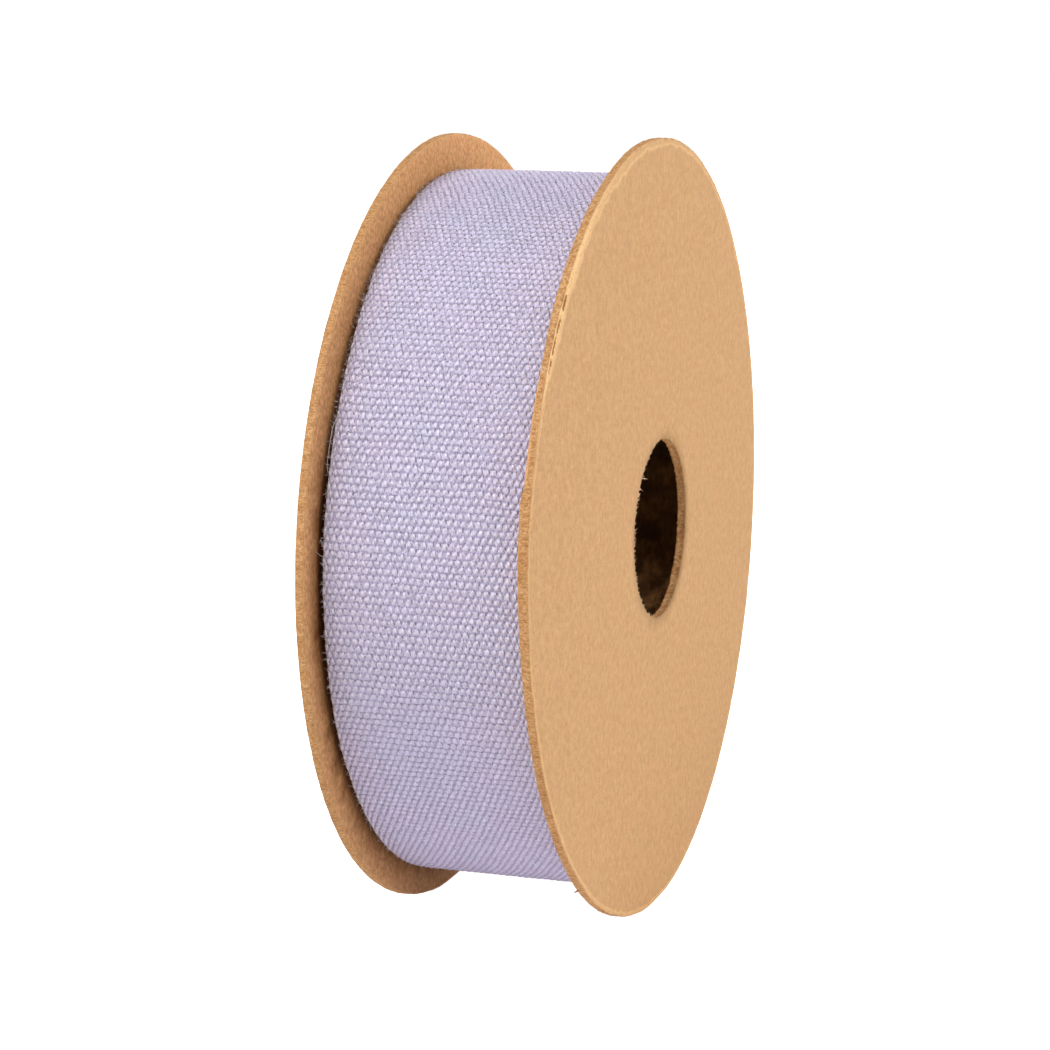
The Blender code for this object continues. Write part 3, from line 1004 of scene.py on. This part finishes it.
def strand_mesh(name, strands, sides=3):
    """Joins thin tapered tubes, each along its own path, into one mesh."""
    points, faces = [], []
    for path, radii in strands:
        path = np.array(path)
        ahead = np.gradient(path, axis=0)
        ahead /= np.linalg.norm(ahead, axis=1, keepdims=True)
        flank = np.cross(ahead, [0.31, 0.52, 0.79])
        flank /= np.linalg.norm(flank, axis=1, keepdims=True)
        rise = np.cross(ahead, flank)
        first = len(points)
        for spot, out, up, radius in zip(path, flank, rise, radii):
            for k in range(sides):
                turn = k * math.tau / sides
                points.append(spot + radius * (math.cos(turn) * out + math.sin(turn) * up))
        for i in range(len(path) - 1):
            for k in range(sides):
                a = first + i * sides + k
                b = first + i * sides + (k + 1) % sides
                faces.append((a, b, b + sides, a + sides))
        faces.append(tuple(first + k for k in reversed(range(sides))))
        faces.append(tuple(first + (len(path) - 1) * sides + k for k in range(sides)))
    mesh = bpy.data.meshes.new(name)
    mesh.from_pydata([tuple(point) for point in points], [], faces)
    mesh.shade_smooth()
    return mesh


def curled_fibre(draw, start, way, length, curl):
    """A fibre's path, which sets off one way and bends steadily as it goes."""
    way = way / np.linalg.norm(way)
    bend = np.cross(way, draw.standard_normal(3))
    bend = bend / np.linalg.norm(bend) * curl / (FIBRE_JOINTS - 1)
    path = [start]
    for _ in range(FIBRE_JOINTS - 1):
        way = way + bend + 0.12 * draw.standard_normal(3)
        way = way / np.linalg.norm(way)
        path.append(path[-1] + way * length / (FIBRE_JOINTS - 1))
    path = np.array(path)
    path[:, 0] = np.clip(path[:, 0], -FREE_SIDE, FREE_SIDE)
    return path


def on_roll(x, lift, angle):
    """A point over the ribbon's face, and the way straight out of the roll there."""
    unwound = (CUT_END_ANGLE - angle) % math.tau
    point = round_axis(x, outside_radius(unwound) + lift, angle) + ROLL_DROP
    return point, np.array([0, math.cos(angle), math.sin(angle)])


def fibres():
    draw = np.random.default_rng(77)
    made = []
    taper = np.linspace(1, 0.55, FIBRE_JOINTS) * FIBRE_RADIUS
    for side in (-1, 1):
        for _ in range(FIBRES_PER_SELVEDGE):
            angle = draw.uniform(0, math.tau)
            x = SIDE_SHIFT + side * (RIBBON_WIDTH / 2 - 0.05 * MM)
            start, out = on_roll(x, -draw.uniform(0.02, 0.35) * MM, angle)
            way = side * np.array([1.0, 0, 0]) + 0.7 * out * draw.uniform(-0.3, 1.0)
            way = way + 0.8 * draw.standard_normal(3)
            way[0] = side * abs(way[0])
            length = draw.lognormal(math.log(USUAL_FIBRE_LENGTH), 0.50)
            length = min(length, LONGEST_FIBRE) * MM
            made.append((curled_fibre(draw, start, way, length, draw.uniform(0.4, 3.2)), taper))
    for _ in range(FIBRES_ON_FACE):
        angle = draw.uniform(0, math.tau)
        start, out = on_roll(draw.uniform(-0.5, 0.5) * RIBBON_WIDTH, -0.05 * MM, angle)
        way = 0.35 * out + draw.standard_normal(3) * np.array([1, 0.6, 0.6])
        way = way + out * max(0.0, 0.2 - way @ out)
        length = draw.uniform(0.35, 0.9) * MM
        made.append((curled_fibre(draw, start, way, length, draw.uniform(0.3, 2.0)), taper * 0.8))
    return made


def long_fibre():
    """The one long fibre, which hangs down beside the left selvedge and curls at its tip."""
    path = [
        on_roll(x * MM, lift * MM, math.radians(degrees))[0]
        for degrees, x, lift in LONG_FIBRE_PLACES
    ]
    return path, np.full(len(path), 1.7 * FIBRE_RADIUS)


def pale_fibre():
    shader = Shader("pale_fibre", roughness=0.7)
    shade = shader.noise(shader.place(), 0.8 * MM)
    colour = shader.mix(shade, PALE_LILAC, PALE_COTTON)
    return shader.finish(colour, shader.bump(shade, 0.005 * MM))


fuzz = add_piece("fuzz", strand_mesh("fuzz", fibres() + [long_fibre()]), pale_fibre())

# Paper burrs
# Torn fibres of kraft paper that the punch has left: slivers that hang into the spindle
# hole, mostly on its left edge, and one red-brown scrap on the rim low down in front.

BURR_RADIUS = 0.045 * MM
HOLE_BURRS = 110
BURR_JOINTS = 5
TORN_PALE = (0.860, 0.640, 0.420)
SCRAP_RED = (0.450, 0.130, 0.050)
SCRAP_BROWN = (0.560, 0.200, 0.080)
SCRAP_ANGLE = math.radians(232.0)
SCRAP_REACH = 0.36 * MM
SCRAP_RADIUS = 0.13 * MM


def hub_face_x():
    """Where the front board's outer face lies at the edge of the hole."""
    return BOARD_RIM_HALF_SPAN + BOARD_DOME * (1 - (HOLE_RADIUS / BOARD_RADIUS) ** 2)


def hole_burr(side, degrees, length, lean, thick):
    """A sliver that starts in the edge of a hole and points in towards the axis."""
    angle = math.radians(degrees)
    share = np.linspace(0, 1, BURR_JOINTS)
    radius = HOLE_RADIUS + 0.06 * MM - length * share
    x = side * (hub_face_x() - 0.10 * MM - 0.25 * length * share**2)
    path = round_axis(x, radius, angle + lean * share)
    return path, BURR_RADIUS * thick * (1 - 0.85 * share)


def straight_sliver(degrees, reach, thick):
    """A sliver on the front edge of the hole, with how far it reaches forward, back and up."""
    share = np.linspace(0, 1, BURR_JOINTS)[:, None]
    start = round_axis(hub_face_x() - 0.06 * MM, HOLE_RADIUS - 0.05 * MM, math.radians(degrees))
    return start + share * np.array(reach) * MM, BURR_RADIUS * thick * (1 - 0.8 * share[:, 0])


def burrs():
    draw = np.random.default_rng(5)
    made = [
        straight_sliver(136.5, (0.16, 1.60, -0.36), 1.2),
        straight_sliver(135.5, (0.12, 0.60, -0.45), 1.0),
        straight_sliver(143.5, (0.10, 0.90, -0.50), 1.0),
        straight_sliver(149.0, (0.08, 0.50, 0.10), 0.9),
        straight_sliver(171.0, (0.10, 0.80, 0.12), 1.2),
        straight_sliver(222.0, (0.08, 0.60, 0.12), 1.0),
    ]
    for k in range(HOLE_BURRS):
        side = 1 if k % 3 else -1
        reach = (draw.uniform(0.02, 0.12), draw.uniform(0.15, 0.60), draw.uniform(-0.25, 0.20))
        made.append(straight_sliver(draw.uniform(112, 250), reach, draw.uniform(0.7, 1.4)))
        degrees = draw.uniform(95, 265)
        length = draw.uniform(0.15, 0.75) * MM
        lean = draw.normal(0, 0.03)
        made.append(hole_burr(side, degrees, length, lean, draw.uniform(0.8, 1.9)))
    return made


def rim_scrap():
    share = np.linspace(0, 1, BURR_JOINTS)
    radius = BOARD_RADIUS - 0.1 * MM + SCRAP_REACH * share
    x = BOARD_RIM_HALF_SPAN - 0.35 * MM - 0.3 * MM * share
    path = round_axis(x, radius, SCRAP_ANGLE - 0.006 * share)
    return [(path, SCRAP_RADIUS * (1 - 0.6 * share))]


def loose_paper(name, patch, first, second):
    """A paper finish with patches of two colours."""
    shader = Shader(name, roughness=0.8)
    shade = shader.noise(shader.place(), patch)
    colour = shader.mix(shade, first, second)
    return shader.finish(colour, shader.bump(shade, 0.01 * MM))


torn_paper = loose_paper("torn_paper", 0.3 * MM, KRAFT, TORN_PALE)
slivers = add_piece("hole_slivers", strand_mesh("hole_slivers", burrs(), sides=4), torn_paper)
red_brown_paper = loose_paper("red_brown_paper", 0.2 * MM, SCRAP_RED, SCRAP_BROWN)
scrap = add_piece("rim_scrap", strand_mesh("rim_scrap", rim_scrap(), sides=5), red_brown_paper)

# Floor, light and camera
# A plain white table under soft studio light: one broad light high in front, others to the
# right, and faint ones to the left and behind. The white table throws light back up, and it
# also glows faintly, a painted glow that adds light from below; to the camera it glows fully
# and shows plain white.

FLOOR_HALF_SIZE = 8.0
CAMERA_AZIMUTH = 18.65
CAMERA_ELEVATION = 11.046
CAMERA_DISTANCE = 303.8 * MM
CAMERA_LENS = 99.66
CAMERA_SENSOR = 36.0
CAMERA_SHIFT = (-0.0236, -0.0037)
TABLE_WHITE = (0.85, 0.85, 0.85, 1)

floor_points = np.array([[[x, y, 0.0] for x in (-1, 1)] for y in (-1, 1)]) * FLOOR_HALF_SIZE
floor_mesh = quad_mesh("floor", floor_points)
floor = bpy.data.objects.new("floor", floor_mesh)
bpy.context.scene.collection.objects.link(floor)
white_table = Shader("white_table", roughness=0.9)
white_table.surface.inputs["Base Color"].default_value = TABLE_WHITE
white_table.surface.inputs["Emission Color"].default_value = (1, 1, 1, 1)
# The table's glow: full to the camera, and a faint painted glow of light from below for all else.
looked_at = white_table.add("ShaderNodeLightPath", output="Is Camera Ray")
table_glow = white_table.band(looked_at, 0, 1, 0.16, 1.0)
white_table.put(white_table.surface.inputs["Emission Strength"], table_glow)
floor_mesh.materials.append(white_table.material)

LIGHT_DISTANCE = 1.0
LIGHT_SIZE = 0.6

# Name, degrees round from the front towards the right, degrees up, and power in watts.
SOFT_LIGHTS = [
    ("front_high", -20, 50, 7.0),
    ("front_left", -60, 30, 1.6),
    ("right_high", 60, 50, 2.1),
    ("right", 90, 25, 1.4),
    ("right_low", 110, 8, 5.0),
    ("back_right", 150, 15, 1.5),
    ("back_left", -150, 15, 1.5),
]


def way_out(azimuth, elevation):
    """The direction at degrees round from the front and degrees up."""
    around, up = math.radians(azimuth), math.radians(elevation)
    across, forward = math.sin(around), math.cos(around)
    return Vector((across * math.cos(up), -forward * math.cos(up), math.sin(up)))


middle = Vector((0, 0, AXIS_HEIGHT))
for name, azimuth, elevation, power in SOFT_LIGHTS:
    data = bpy.data.lights.new(name, "AREA")
    data.shape = "DISK"
    data.size = LIGHT_SIZE
    data.energy = power
    light = bpy.data.objects.new(name, data)
    light.location = middle + LIGHT_DISTANCE * way_out(azimuth, elevation)
    light.rotation_euler = way_out(azimuth, elevation).to_track_quat("Z", "Y").to_euler()
    bpy.context.scene.collection.objects.link(light)

world = bpy.data.worlds.new("studio")
world.use_nodes = True
glow = world.node_tree.nodes["Background"]
seen = world.node_tree.nodes.new("ShaderNodeLightPath")
world.node_tree.links.new(seen.outputs["Is Camera Ray"], glow.inputs["Strength"])
glow.inputs["Color"].default_value = (1, 1, 1, 1)
bpy.context.scene.world = world
bpy.context.scene.view_settings.view_transform = "Standard"

lens = bpy.data.cameras.new("camera")
lens.lens = CAMERA_LENS
lens.sensor_width = CAMERA_SENSOR
lens.shift_x, lens.shift_y = CAMERA_SHIFT
lens.clip_start = 0.01
lens.clip_end = 50.0
camera = bpy.data.objects.new("camera", lens)
offset = way_out(CAMERA_AZIMUTH, CAMERA_ELEVATION)
camera.location = middle + CAMERA_DISTANCE * offset
camera.rotation_euler = offset.to_track_quat("Z", "Y").to_euler()
bpy.context.scene.collection.objects.link(camera)
bpy.context.scene.camera = camera
